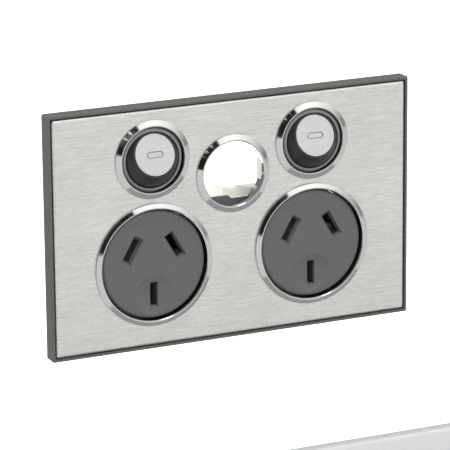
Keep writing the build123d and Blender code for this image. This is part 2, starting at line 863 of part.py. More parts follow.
def rear_body():
    """The rear moulding: a tray for the brass under the sockets, a wing behind each switch and a tower between."""
    lower = Pos(0, (body_top + body_bottom) / 2) * RectangleRounded(body_width, body_top - body_bottom, body_corner)
    body = slab(lower, body_back, body_front)
    wing_middle = (wing_top + body_bottom) / 2
    for sign in SIDES.values():
        wing = RectangleRounded(wing_width, wing_top - body_bottom, body_corner)
        body += slab(Pos(sign * switch_offset, wing_middle) * wing, wing_back, body_front)
        body += rod(ear_radius, body_front - ear_thickness, body_front, sign * ear_x, ear_y)
        near = sign * (switch_offset + wing_width / 2 - body_wall / 2)
        far = sign * ear_x
        body += block(min(near, far), max(near, far), ear_y - ear_radius, ear_y + ear_radius,
                      body_front - ear_thickness, body_front)
    body -= rear_fall()
    body += tower()
    inside = body_width / 2 - body_wall
    inner_bottom = body_bottom + body_wall
    body -= block(-inside, inside, inner_bottom, body_top - body_wall, line_back, body_front)
    body -= block(-inside, inside, inner_bottom, body_top - body_rear_fall - body_wall, terminal_back, line_back)
    for sign in SIDES.values():
        half = wing_width / 2 - body_wall
        centre = sign * switch_offset
        body -= block(centre - half, centre + half, inner_bottom, wing_roof, bar_back, body_front)
    body -= tower_room_cut()
    body += ribs()
    for x, y in body_screw_places():
        inner = abs(x) == post_x
        bottom = terminal_back if inner else body_front
        radius = post_radius if inner else ear_radius
        body += rod(radius, bottom, web_back, x, y)
    seat = body_front - ear_thickness
    for x, y in body_screw_places():
        body -= rod(body_screw_radius + body_screw_fit, seat, web_back, x, y)
        body -= rod(body_screw_head + body_screw_head_room, body_back, seat, x, y)
    for x in terminal_places().values():
        entry = Pos(x, body_bottom + body_wall / 2, wire_level) * Rot(90, 0, 0) * Cylinder(wire_entry, body_wall)
        body -= entry
        body -= rod(terminal_screw_hole, body_back, terminal_back, x, screw_y())
    return body


def rear_fall():
    """What the tray's roof loses as it slopes down behind the wings."""
    side_view = outline([(body_top, wing_back), (body_top, body_back), (body_top - body_rear_fall, body_back)])
    return extrude(Plane.YZ * side_view, amount=body_width, both=True)


def tower():
    """The tower on the tray's roof: two steps with sloping tops, both falling towards the back."""
    step_end = tower_step + tower_step_width
    right = switch_offset - wing_width / 2 + body_wall
    low = body_top - body_rear_fall
    front_view = outline([
        (tower_left, low),
        (right, low),
        (right, body_top + tower_second_low),
        (tower_slope_end, body_top + tower_second_low),
        (step_end, body_top + tower_second_height),
        (tower_step, body_top + tower_first_low),
        (tower_left, body_top + tower_first_height),
    ])
    depth = tower_front - body_back
    fall = Vector(0, -tower_rear_fall, -depth)
    return extrude(Pos(0, 0, tower_front) * front_view, amount=fall.length, dir=fall.normalized())


def tower_room_cut():
    """The tower's hollow, which opens into the tray."""
    right = switch_offset - wing_width / 2
    low = body_top - body_rear_fall - body_wall
    return block(tower_left + body_wall, right, low, body_top + tower_room, terminal_back, tower_front - body_wall)


def ribs():
    """The ribs on the tray's floor that carry the bars and the clips."""
    half = rib_thickness / 2
    line_seat = line_bus_top - bus_width
    rib_low = terminal_top + rib_thickness
    shapes = []
    for sign in SIDES.values():
        for x in (sign * socket_offset - line_pin_x, sign * socket_offset + line_pin_x):
            shapes.append(block(x - half, x + half, rib_low, line_seat - rib_thickness, terminal_back, bar_back))
            shapes.append(block(x - half, x + half, line_seat, body_top - body_wall, terminal_back, line_back))
        x = sign * socket_offset
        shapes.append(block(x - half, x + half, body_bottom + body_wall, earth_bus_bottom,
                            terminal_back, bar_back))
    return shapes


def body_screws():
    """The four screws that hold the rear body to the grid plate."""
    seat = body_front - ear_thickness
    screw = slotted_screw(body_screw_radius, body_screw_head, body_screw_head_height, body_screw_tip, seat)
    return Compound([Pos(x, y) * screw for x, y in body_screw_places()])


def all_pieces():
    """Every piece by its name."""
    pieces = {
        "steel_skin": steel_skin(),
        "cover_frame": cover_frame(),
        "aperture_ring": aperture_ring(),
        "grid_plate": grid_plate(),
        "rear_body": rear_body(),
        "line_bar": line_bar(),
        "neutral_bar": neutral_bar(),
        "earth_bar": earth_bar(),
        "loop_terminal": terminal(terminal_places()["loop"]),
        "active_terminal_block": terminal(terminal_places()["active"]),
        "earth_terminal_block": terminal(terminal_places()["earth"]),
        "neutral_terminal_block": terminal(terminal_places()["neutral"]),
        "terminal_screws": terminal_screws(),
        "body_screws": body_screws(),
    }
    for side in SIDES:
        pieces["socket_ring_" + side] = socket_ring(side)
        pieces["switch_ring_" + side] = switch_ring(side)
        pieces["socket_face_" + side] = socket_face(side)
        pieces["switch_bezel_" + side] = switch_bezel(side)
        pieces["rocker_" + side] = rocker(side)
        pieces["rocker_cap_" + side] = rocker_cap(side)
        pieces["plunger_" + side] = plunger(side)
        pieces["rocker_spring_" + side] = rocker_spring(side)
        pieces["moving_contact_" + side] = moving_contact(side)
        pieces["moving_tip_" + side] = moving_tip(side)
        pieces["load_contact_" + side] = load_contact(side)
        pieces["fixed_tip_" + side] = fixed_tip(side)
    return pieces


os.makedirs("parts", exist_ok=True)
for name, piece in all_pieces().items():
    export_step(Rot(90, 0, 0) * piece, "parts/" + name + ".step")
    print(name, round(piece.volume, 2), len(piece.solids()))
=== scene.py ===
"""Twin switched socket outlet: its turned, moulded and pressed surfaces, its finishes and its studio."""
import json
import math

import bpy
import numpy as np
from mathutils import Matrix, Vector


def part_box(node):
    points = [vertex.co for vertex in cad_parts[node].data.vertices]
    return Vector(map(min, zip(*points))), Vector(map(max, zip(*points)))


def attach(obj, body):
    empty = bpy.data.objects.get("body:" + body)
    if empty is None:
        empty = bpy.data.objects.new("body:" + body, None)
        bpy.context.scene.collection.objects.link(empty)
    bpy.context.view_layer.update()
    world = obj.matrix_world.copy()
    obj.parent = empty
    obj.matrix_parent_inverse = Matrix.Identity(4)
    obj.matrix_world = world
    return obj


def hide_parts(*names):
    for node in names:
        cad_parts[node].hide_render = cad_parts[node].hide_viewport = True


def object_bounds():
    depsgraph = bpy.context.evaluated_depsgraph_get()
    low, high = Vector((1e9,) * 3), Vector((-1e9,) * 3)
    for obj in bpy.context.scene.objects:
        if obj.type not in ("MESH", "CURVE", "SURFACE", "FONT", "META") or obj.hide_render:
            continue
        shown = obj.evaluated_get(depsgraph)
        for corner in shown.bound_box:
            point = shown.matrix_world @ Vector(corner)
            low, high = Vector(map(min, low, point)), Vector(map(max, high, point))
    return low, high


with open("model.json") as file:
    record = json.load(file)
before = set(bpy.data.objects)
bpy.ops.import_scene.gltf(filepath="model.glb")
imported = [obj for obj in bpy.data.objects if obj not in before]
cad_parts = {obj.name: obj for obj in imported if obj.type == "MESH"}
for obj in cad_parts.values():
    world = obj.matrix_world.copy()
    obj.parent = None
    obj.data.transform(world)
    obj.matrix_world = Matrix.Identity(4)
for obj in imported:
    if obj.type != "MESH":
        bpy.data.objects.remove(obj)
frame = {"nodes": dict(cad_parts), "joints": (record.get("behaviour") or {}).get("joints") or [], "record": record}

bl_info = {
    "name": "Twin switched socket outlet",
    "version": (1, 0, 0),
    "blender": (4, 5, 0),
    "location": "3D View > Sidebar > Outlet",
    "description": "Dresses a twin switched socket outlet and lights it on a pale floor",
    "category": "Object",
}

MM = 0.001
SIDES = ("left", "right")
WHITE = (1, 1, 1)
CAD_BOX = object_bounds()

# How finely surfaces are drawn: sharp edges, merged points, a full turn and a profile's rounded corners
CORNER_SMOOTHING = math.radians(32)
MERGE_DISTANCE = 1e-7
TURN_STEPS = 192
FULL_TURN = np.arange(TURN_STEPS) * 2 * math.pi / TURN_STEPS
ARC_STEPS = 5
ARC_MARGIN = 0.04 * MM
LONGEST_REACH = 0.49

# A ring's collar: the angle of the close points at a gap's sides, and the barb's ends as shares of its reach
GAP_EDGE = 2e-4
BARB_SPAN = (1 / 3, 0.83)

# A socket face: steps along a slice's arc and spokes, over its rounded edge and from its outline to its slot
SLICE_ARC_STEPS = 80
SPOKE_STEPS = 40
EDGE_STEPS = 8
SLICE_SHARES = np.concatenate([[0, 0.01], np.linspace(0.03, 0.97, 44), [0.985, 1]])
TAPER_SHARES = (0.04, 0.5, 0.96)


def middle(node):
    """The middle of a node's box."""
    low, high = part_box(node)
    return (np.array(low) + np.array(high)) / 2


def half_width(node):
    """Half of a node's width along X, which is the radius of a round one."""
    low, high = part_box(node)
    return (high[0] - low[0]) / 2


def front(node):
    """How far a node stands out of the wall plane."""
    return -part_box(node)[0][1]


def back(node):
    """How far a node's rear lies from the wall plane, out of the wall."""
    return -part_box(node)[1][1]


def joint(name):
    """A joint of the record."""
    for entry in frame["joints"]:
        if entry["name"] == name:
            return entry
    raise RuntimeError("the record has no joint named " + name)


def joint_place(name):
    """The point on a joint's axis."""
    return np.array(joint(name)["pos_m"])


def joint_range(name):
    """How far a hinge turns, in radians."""
    low, high = joint(name)["range_deg"]
    return math.radians(high - low)


def body_of(node):
    """The body that a node is on."""
    for body, nodes in frame["record"]["behaviour"]["bodies"].items():
        if node in nodes:
            return body
    raise RuntimeError("no body holds " + node)


def number_property(name, description, default, **options):
    """A number that can be changed in the sidebar."""
    return bpy.props.FloatProperty(name=name, description=description, default=default, **options)


def length_property(name, description, default):
    """A length in metres."""
    return number_property(name, description, default, unit="LENGTH")


def angle_property(name, description, degrees):
    """An angle, given here in degrees."""
    return number_property(name, description, math.radians(degrees), unit="ROTATION")


def colour_property(name, description, default):
    """A colour."""
    return bpy.props.FloatVectorProperty(
        name=name, description=description, default=default, subtype="COLOR", size=3)


class RingSizes(bpy.types.PropertyGroup):
    """Sizes of the bright rings."""

    socket_inner: length_property("Socket ring inside", "Inner radius of a socket ring", 0.0169)
    socket_wall: length_property("Socket collar wall", "Thickness of a socket ring's collar", 0.00075)
    switch_inner: length_property("Switch ring inside", "Inner radius of a switch or spare ring", 0.0098)
    switch_collar: length_property("Switch collar inside", "Inner radius of a switch ring's collar", 0.01065)
    switch_wall: length_property("Switch collar wall", "Thickness of a switch ring's collar", 0.0006)
    spare_wall: length_property("Spare collar wall", "Thickness of the spare ring's collar", 0.0012)
    crest: length_property("Crest", "Width of the narrow flat at a ring's front", 0.00025)
    slope: angle_property("Slope", "Slope of a ring's outer band", 21.5)
    undercut: length_property("Undercut", "Hollow under a ring's outer edge", 0.00038)
    lip: length_property("Lip", "Depth of a switch ring's inner lip", 0.0009)
    rounding: length_property("Rounding", "Radius of a ring's edges", 0.00012)
    wall_reach: length_property(
        "Wall reach", "How far a collar's fingers reach into the cover's wall", 0.0006)
    barb: length_property("Barb", "How far a finger's barb stands out", 0.00025)
    finger_gap: length_property("Finger gap", "Width of the gaps between a collar's fingers", 0.0014)
    finger_count: bpy.props.IntProperty(
        name="Fingers", description="How many snap fingers a collar has", default=8)
    spare_place: angle_property(
        "Spare finger place", "Angle of the spare collar's finger pairs from level", 36)
    spare_span: angle_property(
        "Spare finger span", "Angle that a pair of the spare collar's fingers spans", 34)
    skin_thickness: length_property("Skin thickness", "Thickness of the steel skin", 0.0006)


class CoverSizes(bpy.types.PropertyGroup):
    """Corner sizes of the cover."""

    frame_corner: length_property("Frame corner, solid", "Radius of the solid frame's corners", 0.0016)
    frame_crisp: length_property("Frame corner", "Radius that the frame's corners are drawn out to", 0.0006)
    skin_corner: length_property("Skin corner, solid", "Radius of the solid skin's corners", 0.0011)
    skin_crisp: length_property("Skin corner", "Radius that the skin's corners are drawn out to", 0.0006)


class FaceSizes(bpy.types.PropertyGroup):
    """Sizes of the socket faces."""

    radius: length_property("Face radius", "Radius of a socket face", 0.0164)
    edge: length_property("Edge rounding", "Radius of the face's front edge", 0.0009)
    plate: length_property("Plate", "Thickness of the face's front plate", 0.003)
    skirt: length_property("Skirt", "Thickness of the face's skirt", 0.0012)
    rise: length_property("Pin rise", "Height of the pins' centre above the face's", 0.001)
    pin_x: length_property("Pin offset across", "Line slots' distance from the pins' centre", 0.00686)
    pin_y: length_property("Pin offset up", "Line slots' height above the pins' centre", 0.00396)
    earth_y: length_property("Earth offset", "Earth slot's height above the pins' centre", -0.01031)
    lean: angle_property("Lean", "Lean of the line slots", 30)
    slot_width: length_property("Slot width", "Width of a slot", 0.00205)
    slot_length: length_property("Slot length", "Length of a line slot", 0.0072)
    earth_length: length_property("Earth slot length", "Length of the earth slot", 0.00685)
    mouth_spread: length_property("Mouth spread", "How much wider a line slot's mouth is", 0.0011)
    mouth_extra: length_property("Mouth extra", "How much longer a line slot's mouth is", 0.00165)
    earth_spread: length_property("Earth mouth spread", "How much wider the earth slot's mouth is", 0.0004)
    earth_extra: length_property("Earth mouth extra", "How much longer the earth slot's mouth is", 0.0009)
    mouth_depth: length_property("Mouth depth", "Depth of the taper at a slot's mouth", 0.00125)
    land: length_property("Land", "Straight part between a slot's taper and its chamber", 0.0003)
    chamber: length_property("Chamber", "How much wider a slot is behind, on each side", 0.00045)
    guide: length_property("Guide wall", "Reach of the wall round a slot behind the face", 0.0013)
    guide_back: length_property("Guide back", "Where the wall round a slot ends, out of the wall", -0.0006)
    dish_radius: length_property("Dish radius", "Radius of the dish round the earth slot", 0.0059)
    dish_depth: length_property("Dish depth", "Depth of the dish round the earth slot", 0.00050)
    dish_power: number_property("Dish power", "Under one, the dish is steeper at its rim", 0.7)


class SwitchSizes(bpy.types.PropertyGroup):
    """Sizes of the bezels, the rockers and their caps."""

    ball: length_property("Ball radius", "Radius of a rocker's ball", 0.00945)
    ball_gap: length_property("Ball gap", "Gap between the ball and its bezel", 0.0002)
    cap_front: length_property("Cap front", "Distance of a cap's front from the pivot", 0.00675)
    cap_thickness: length_property("Cap thickness", "Thickness of a cap", 0.0007)
    cap_edge: length_property("Cap edge", "Rounding of a cap's front edge", 0.00012)
    mark_length: length_property("Mark length", "Length of the recess in a cap", 0.0053)
    mark_width: length_property("Mark width", "Width of the recess in a cap", 0.0020)
    mark_depth: length_property("Mark depth", "Depth of the groove round the mark", 0.0005)
    mark_groove: length_property("Mark groove", "Width of the groove round the mark", 0.00036)
    mark_floor: length_property("Mark floor", "Depth of the mark inside its groove", 0.00008)
    bezel_outer: length_property("Bezel outside", "Outer radius of a bezel's lip", 0.0094)
    bezel_shoulder: length_property("Bezel shoulder", "Height of the shoulder behind a bezel's lip", 0.004)
    bezel_tube: length_property("Bezel tube", "Outer radius of a bezel's tube", 0.0103)
    bezel_edge: length_property("Bezel edge", "Bevel of a bezel's outer front edge", 0.0003)
    flange_front: length_property("Flange front", "Height of the front of a bezel's flange", 0.001)


class Colours(bpy.types.PropertyGroup):
    """Colours of the finishes."""

    steel: colour_property("Steel", "Brushed steel", (0.80, 0.795, 0.768))
    plating: colour_property("Plating", "Bright plating", (0.70, 0.70, 0.705))
    frame: colour_property("Frame", "Cover frame's plastic", (0.084, 0.083, 0.082))
    face: colour_property("Face", "Socket faces' plastic", (0.092, 0.092, 0.092))
    bezel: colour_property("Bezel", "Bezels' plastic", (0.17, 0.17, 0.17))
    rocker: colour_property("Rocker", "Rockers' plastic", (0.012, 0.012, 0.012))
    cap: colour_property("Cap", "Rocker caps' silver", (0.41, 0.41, 0.41))
    grid: colour_property("Grid", "Grid plate's plastic", (0.095, 0.092, 0.092))
    cream: colour_property("Cream", "Rear body's plastic", (0.84, 0.83, 0.79))
    brass: colour_property("Brass", "Bars and clips", (0.72, 0.42, 0.17))
    zinc: colour_property("Zinc", "Screws", (0.62, 0.62, 0.60))
    silver: colour_property("Silver", "Contact tips", (0.82, 0.82, 0.80))
    nylon: colour_property("Nylon", "Plungers", (0.80, 0.79, 0.75))
    floor: colour_property("Floor", "Studio floor", (0.46, 0.46, 0.46))
    mat: colour_property("Grey mat", "Card before the outlet", (0.24, 0.24, 0.24))
    screen: colour_property("Dark screen", "Dark cards beside and behind the outlet", (0.16, 0.16, 0.16))
    flag: colour_property("Black flag", "Narrow black card that the rings mirror", (0.004, 0.004, 0.004))


class StageSizes(bpy.types.PropertyGroup):
    """Where the camera and the floor are, and how bright the surroundings are."""

    azimuth: angle_property("Azimuth", "Camera's turn from straight in front", -24.93)
    elevation: angle_property("Elevation", "Camera's height above level", 15.35)
    roll: angle_property("Roll", "Camera's roll", -0.49)
    distance: length_property("Distance", "Camera's distance", 0.947)
    lens: number_property("Lens", "Focal length in millimetres", 255.36)
    shift_x: number_property("Shift across", "Camera's shift across", -0.020)
    shift_y: number_property("Shift up", "Camera's shift up", -0.0184)
    aim: bpy.props.FloatVectorProperty(
        name="Aim", description="Point that the camera turns about", default=(0.0002, -0.0054, 0.0003),
        subtype="XYZ", unit="LENGTH", size=3)
    floor_drop: length_property("Floor drop", "How far the floor lies below the outlet", 0.09)
    table_glow: number_property("Table glow", "Strength of the light table behind the outlet", 0.6)
    surroundings: number_property("Surroundings", "Strength of the even light from all round", 0.35)


# Surfaces

def stand(points, centre_x, centre_z):
    """Turn (right, up, out) points into the shared frame: out of the wall is -Y."""
    right, up, out = points[..., 0], points[..., 1], points[..., 2]
    return np.stack([centre_x + right, -out, centre_z + up], axis=-1)


def tilt(points, angle, pivot_out):
    """Tip (right, up, out) points upwards about a line across the pivot: up' = up cos + out sin."""
    right, up, out = points[..., 0], points[..., 1], points[..., 2]
    return np.stack([
        right,
        up * math.cos(angle) + out * math.sin(angle),
        out * math.cos(angle) - up * math.sin(angle) + pivot_out,
    ], axis=-1)


def rounded(points, radii):
    """A profile with its corners rounded: each corner becomes an arc tangent to both of its sides.

    The arc takes up less than half of a side. A point a little before and one a little after each arc keep
    the sides' shading flat."""
    points = np.asarray(points, float)
    result = []
    for i, (corner, radius) in enumerate(zip(points, radii)):
        before = points[i - 1] - corner
        after = points[(i + 1) % len(points)] - corner
        before_length = np.linalg.norm(before)
        after_length = np.linalg.norm(after)
        if radius <= 0:
            result.append(corner[None])
            continue
        before = before / before_length
        after = after / after_length
        half = math.acos(np.clip(before @ after, -1, 1)) / 2
        reach = min(radius / math.tan(half), before_length * LONGEST_REACH, after_length * LONGEST_REACH)
        true_radius = reach * math.tan(half)
        bisector = (before + after) / np.linalg.norm(before + after)
        centre = corner + bisector * true_radius / math.sin(half)
        start = corner + before * reach - centre
        end = corner + after * reach - centre
        turn = math.acos(np.clip(start @ end / (true_radius ** 2), -1, 1))
        share = np.linspace(0, 1, ARC_STEPS + 1)[:, None]
        arc = (np.sin((1 - share) * turn) * start + np.sin(share * turn) * end) / math.sin(turn)
        pad = min(ARC_MARGIN, before_length * 0.5 - reach, after_length * 0.5 - reach)
        lead = [(corner + before * (reach + pad))[None]] if pad > 0 else []
        tail = [(corner + after * (reach + pad))[None]] if pad > 0 else []
        result += lead + [centre + arc] + tail
    return np.concatenate(result)


def at_height(flat, height):
    """Points of (right, up) as (right, up, out), all at one height."""
    return np.column_stack([flat, np.full(len(flat), height)])


def turned_loops(profile, angle=FULL_TURN):
    """Loops of (right, up, out): each (radius, height) point goes round the axis through the angles."""
    radius = np.asarray(profile)[:, 0][:, None]
    height = np.asarray(profile)[:, 1][:, None]
    return np.stack([radius * np.cos(angle), radius * np.sin(angle), height + 0 * angle], axis=-1)


def loop_faces(rows, columns, closed_rows=False, offset=0):
    """Quads between neighbouring points of a grid of loops; each loop closes on itself."""
    row = np.arange(rows if closed_rows else rows - 1)[:, None]
    column = np.arange(columns)[None, :]
    next_row = (row + 1) % rows
    next_column = (column + 1) % columns
    quads = np.stack([
        row * columns + column,
        row * columns + next_column,
        next_row * columns + next_column,
        next_row * columns + column,
    ], axis=-1)
    return quads.reshape(-1, 4) + offset


def fan_faces(first, count, centre, flip=False):
    """Triangles from a loop to one point in its middle."""
    here = first + np.arange(count)
    there = first + (np.arange(count) + 1) % count
    triangles = np.stack([here, there, np.full(count, centre)], axis=-1)
    return triangles[:, ::-1] if flip else triangles


def weld(vertices, faces):
    """Merge points that lie together, to a tenth of a micron, and leave out what has shrunk to a line."""
    keys = np.round(vertices / MERGE_DISTANCE).astype(np.int64)
    _, kept, place = np.unique(keys, axis=0, return_index=True, return_inverse=True)
    place = place.reshape(-1)
    polygons = []
    for group in faces:
        for face in place[group].tolist():
            corners = [corner for i, corner in enumerate(face) if corner != face[i - 1]]
            if len(corners) > 2:
                polygons.append(corners)
    return vertices[kept], polygons


def add_piece(name, vertices, faces, material, node):
    """Put a surface into the scene in a node's place: it rides on the node's body."""
    vertices, polygons = weld(vertices, faces)
    mesh = bpy.data.meshes.new(name)
    mesh.from_pydata(vertices.tolist(), [], polygons)
    if mesh.validate():
        raise RuntimeError(name + " has faces that don't hold together")
    mesh.shade_smooth()
    mesh.set_sharp_from_angle(angle=CORNER_SMOOTHING)
    mesh.materials.append(material)
    piece = bpy.data.objects.new(name, mesh)
    bpy.context.scene.collection.objects.link(piece)
    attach(piece, body_of(node))
    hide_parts(node)
    return piece


def solid_surface(node):
    """The points and triangles of a CAD node's mesh."""
    mesh = frame["nodes"][node].data
    points = np.empty(len(mesh.vertices) * 3)
    corners = np.empty(len(mesh.loops), np.int64)
    mesh.vertices.foreach_get("co", points)
    mesh.loops.foreach_get("vertex_index", corners)
    return points.reshape(-1, 3), corners.reshape(-1, 3)


def crisp_corners(points, half_across, half_up, radius, crisp):
    """Draw a plate's rounded corners out to a smaller radius.

    Seen from the centre of a corner's arc, each point in the corner moves away by the same share as the
    edge does in its direction: the edge goes from the arc to a square of the arc's size whose own corner
    has the smaller radius."""
    across = np.abs(points[:, 0]) - (half_across - radius)
    up = np.abs(points[:, 2]) - (half_up - radius)
    far = np.hypot(across, up)
    in_corner = (across > 0) & (up > 0) & (far > MERGE_DISTANCE)
    far = np.where(in_corner, far, 1.0)
    towards = np.stack([np.where(in_corner, across, 1.0), np.where(in_corner, up, 0.0)], axis=-1)
    towards = towards / far[:, None]
    straight = radius - crisp
    larger = towards.max(axis=1)
    smaller = towards.min(axis=1)
    to_side = radius / larger
    middle_way = straight * (larger + smaller)
    to_arc = middle_way + np.sqrt(np.maximum(middle_way ** 2 - 2 * straight ** 2 + crisp ** 2, 0))
    edge = np.where(to_side * smaller <= straight, to_side, to_arc)
    share = np.where(in_corner, edge / radius - 1, 0.0)
    moved = points.copy()
    moved[:, 0] += np.sign(points[:, 0]) * np.where(in_corner, across * share, 0.0)
    moved[:, 2] += np.sign(points[:, 2]) * np.where(in_corner, up * share, 0.0)
    return moved


def flatten_shading(piece):
    """Let a piece's large faces set its shading, so that they stay flat beside a rounding."""
    modifier = piece.modifiers.new("flat faces", "WEIGHTED_NORMAL")
    modifier.keep_sharp = True
    modifier.weight = 100


def crisp_plate(name, node, material, radius, crisp):
    """A copy of a CAD plate with crisper corners, in its place."""
    points, triangles = solid_surface(node)
    low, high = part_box(node)
    moved = crisp_corners(points, (high[0] - low[0]) / 2, (high[2] - low[2]) / 2, radius, crisp)
    flatten_shading(add_piece(name, moved, [triangles], material, node))


def finish_node(node, material):
    """Give a CAD node its finish."""
    slots = frame["nodes"][node].material_slots
    if not slots:
        frame["nodes"][node].data.materials.append(material)
    for place in slots:
        place.material = material


# Finishes

class Finish:
    """A material being put together: its shader and the pattern that feeds it."""

    def __init__(self, name, colour, roughness, metallic=0.0):
        self.material = bpy.data.materials.get(name) or bpy.data.materials.new(name)
        self.material.use_nodes = True
        self.tree = self.material.node_tree
        self.tree.nodes.clear()
        self.shader = self.tree.nodes.new("ShaderNodeBsdfPrincipled")
        self.output = self.tree.nodes.new("ShaderNodeOutputMaterial")
        self.link(self.shader.outputs["BSDF"], self.output.inputs["Surface"])
        self.shader.inputs["Base Color"].default_value = (*colour, 1)
        self.shader.inputs["Roughness"].default_value = roughness
        self.shader.inputs["Metallic"].default_value = metallic
        self.place = self.tree.nodes.new("ShaderNodeTexCoord").outputs["Object"]

    def link(self, start, end):
        """Feed one socket from another."""
        self.tree.links.new(start, end)

    def noise(self, scale, detail=3.0, rough=0.55):
        """Noise of about 1/scale metres along each axis, from 0 to 1."""
        mapping = self.tree.nodes.new("ShaderNodeMapping")
        mapping.inputs["Scale"].default_value = scale
        self.link(self.place, mapping.inputs["Vector"])
        texture = self.tree.nodes.new("ShaderNodeTexNoise")
        texture.inputs["Scale"].default_value = 1.0
        texture.inputs["Detail"].default_value = detail
        texture.inputs["Roughness"].default_value = rough
        self.link(mapping.outputs["Vector"], texture.inputs["Vector"])
        return texture.outputs["Fac"]

    def cells(self, scale):
        """Random grey cells of about 1/scale metres."""
        texture = self.tree.nodes.new("ShaderNodeTexVoronoi")
        texture.inputs["Scale"].default_value = scale
        self.link(self.place, texture.inputs["Vector"])
        return texture.outputs["Color"]

    def span(self, value, low, high, start=0.0, end=1.0):
        """Map a pattern's start..end to low..high."""
        node = self.tree.nodes.new("ShaderNodeMapRange")
        node.inputs["From Min"].default_value = start
        node.inputs["From Max"].default_value = end
        node.inputs["To Min"].default_value = low
        node.inputs["To Max"].default_value = high
        self.link(value, node.inputs["Value"])
        return node.outputs["Result"]

    def add(self, first, second):
        """The sum of two patterns."""
        node = self.tree.nodes.new("ShaderNodeMath")
        self.link(first, node.inputs[0])
        self.link(second, node.inputs[1])
        return node.outputs["Value"]

    def shade(self, colour, value):
        """Base colour times a pattern."""
        node = self.tree.nodes.new("ShaderNodeVectorMath")
        node.operation = "SCALE"
        node.inputs[0].default_value = colour
        self.link(value, node.inputs["Scale"])
        self.link(node.outputs["Vector"], self.shader.inputs["Base Color"])

    def rough(self, value):
        """Roughness from a pattern."""
        self.link(value, self.shader.inputs["Roughness"])

    def bump(self, value, strength, distance):
        """Small relief from a pattern."""
        node = self.tree.nodes.new("ShaderNodeBump")
        node.inputs["Strength"].default_value = strength
        node.inputs["Distance"].default_value = distance
        self.link(value, node.inputs["Height"])
        self.link(node.outputs["Normal"], self.shader.inputs["Normal"])


def brushed_steel(colour):
    """Steel brushed along X: short thin streaks in its grey, gloss and relief, over faint cloudy patches."""
    finish = Finish("brushed steel", colour, 0.34, 1.0)
    fine = finish.noise((130, 130, 4200), 2.0, 0.5)
    broad = finish.noise((400, 400, 2000), 2.0)
    cloud = finish.noise((60, 60, 60), 2.0)
    thin_streaks = finish.span(fine, -0.15, 0.15, 0.25, 0.75)
    streaks = finish.add(thin_streaks, finish.span(broad, -0.06, 0.06, 0.3, 0.7))
    finish.shade(colour, finish.add(finish.span(cloud, 0.97, 1.03, 0.3, 0.7), streaks))
    finish.rough(finish.span(fine, 0.26, 0.44, 0.3, 0.7))
    finish.bump(fine, 0.15, 0.00003)
    return finish.material


def bright_plating(colour):
    """Bright plating with a trace of haze."""
    finish = Finish("bright plating", colour, 0.07, 1.0)
    haze = finish.noise((420, 420, 420), 2.0)
    finish.rough(finish.span(haze, 0.045, 0.10, 0.3, 0.7))
    finish.shade(colour, finish.span(haze, 0.97, 1.0, 0.3, 0.7))
    return finish.material


def moulded(name, colour, roughness, grain=2600.0, contrast=0.06, relief=0.00002, strength=0.25):
    """Moulded plastic: a fine even grain in its shade, gloss and relief, and faint flow marks."""
    finish = Finish(name, colour, roughness)
    fine = finish.noise((grain, grain, grain), 2.0)
    flow = finish.noise((90, 90, 90), 2.0)
    shade = finish.add(finish.span(fine, 1 - contrast, 1 + contrast, 0.3, 0.7),
                       finish.span(flow, -0.02, 0.02, 0.3, 0.7))
    finish.shade(colour, shade)
    finish.rough(finish.span(fine, roughness - 0.06, roughness + 0.06, 0.3, 0.7))
    finish.bump(fine, strength, relief)
    return finish.material


def sparkling(name, colour, roughness):
    """Plastic filled with metal flakes: most cells stay dark and a few are brighter."""
    finish = Finish(name, colour, roughness)
    flakes = finish.cells(3400.0)
    fine = finish.noise((2600, 2600, 2600), 2.0)
    bright = finish.span(flakes, 0.0, 0.6, 0.78, 1.0)
    finish.shade(colour, finish.add(finish.span(fine, 0.90, 1.08, 0.3, 0.7), bright))
    finish.rough(finish.span(fine, roughness - 0.08, roughness + 0.08, 0.3, 0.7))
    finish.bump(fine, 0.3, 0.00002)
    return finish.material


def silver_paint(colour):
    """Silver lacquer: a fine metallic grain."""
    finish = Finish("silver cap", colour, 0.5, 0.1)
    fine = finish.noise((3600, 3600, 3600), 2.0)
    finish.shade(colour, finish.span(fine, 0.84, 1.16, 0.3, 0.7))
    finish.rough(finish.span(fine, 0.42, 0.60, 0.3, 0.7))
    finish.bump(fine, 0.3, 0.00002)
    return finish.material


def pressed_metal(name, colour, roughness):
    """Pressed sheet or turned metal with fine drawing marks."""
    finish = Finish(name, colour, roughness, 1.0)
    marks = finish.noise((300, 300, 3200), 3.0)
    finish.shade(colour, finish.span(marks, 0.88, 1.06, 0.3, 0.7))
    finish.rough(finish.span(marks, roughness - 0.08, roughness + 0.10, 0.3, 0.7))
    finish.bump(marks, 0.12, 0.00003)
    return finish.material


# Operators

class OUTLET_OT_steel_skin(bpy.types.Operator):
    """Fold and finish the brushed steel skin"""

    bl_idname = "outlet.steel_skin"
    bl_label = "Steel skin"

    def execute(self, context):
        sizes = context.scene.outlet_cover
        steel = brushed_steel(context.scene.outlet_colours.steel)
        crisp_plate("folded_skin", "steel_skin", steel, sizes.skin_corner, sizes.skin_crisp)
        return {"FINISHED"}


class OUTLET_OT_cover_frame(bpy.types.Operator):
    """Mould and finish the cover frame"""

    bl_idname = "outlet.cover_frame"
    bl_label = "Cover frame"

    def execute(self, context):
        sizes = context.scene.outlet_cover
        plastic = moulded("frame plastic", context.scene.outlet_colours.frame, 0.46, 1800.0, 0.05)
        crisp_plate("moulded_frame", "cover_frame", plastic, sizes.frame_corner, sizes.frame_crisp)
        return {"FINISHED"}


def even_gaps(sizes, reach):
    """The middle and the half angle of each gap between equal fingers."""
    half = math.asin(sizes.finger_gap / 2 / reach)
    return [(2 * math.pi * i / sizes.finger_count, half) for i in range(sizes.finger_count)]


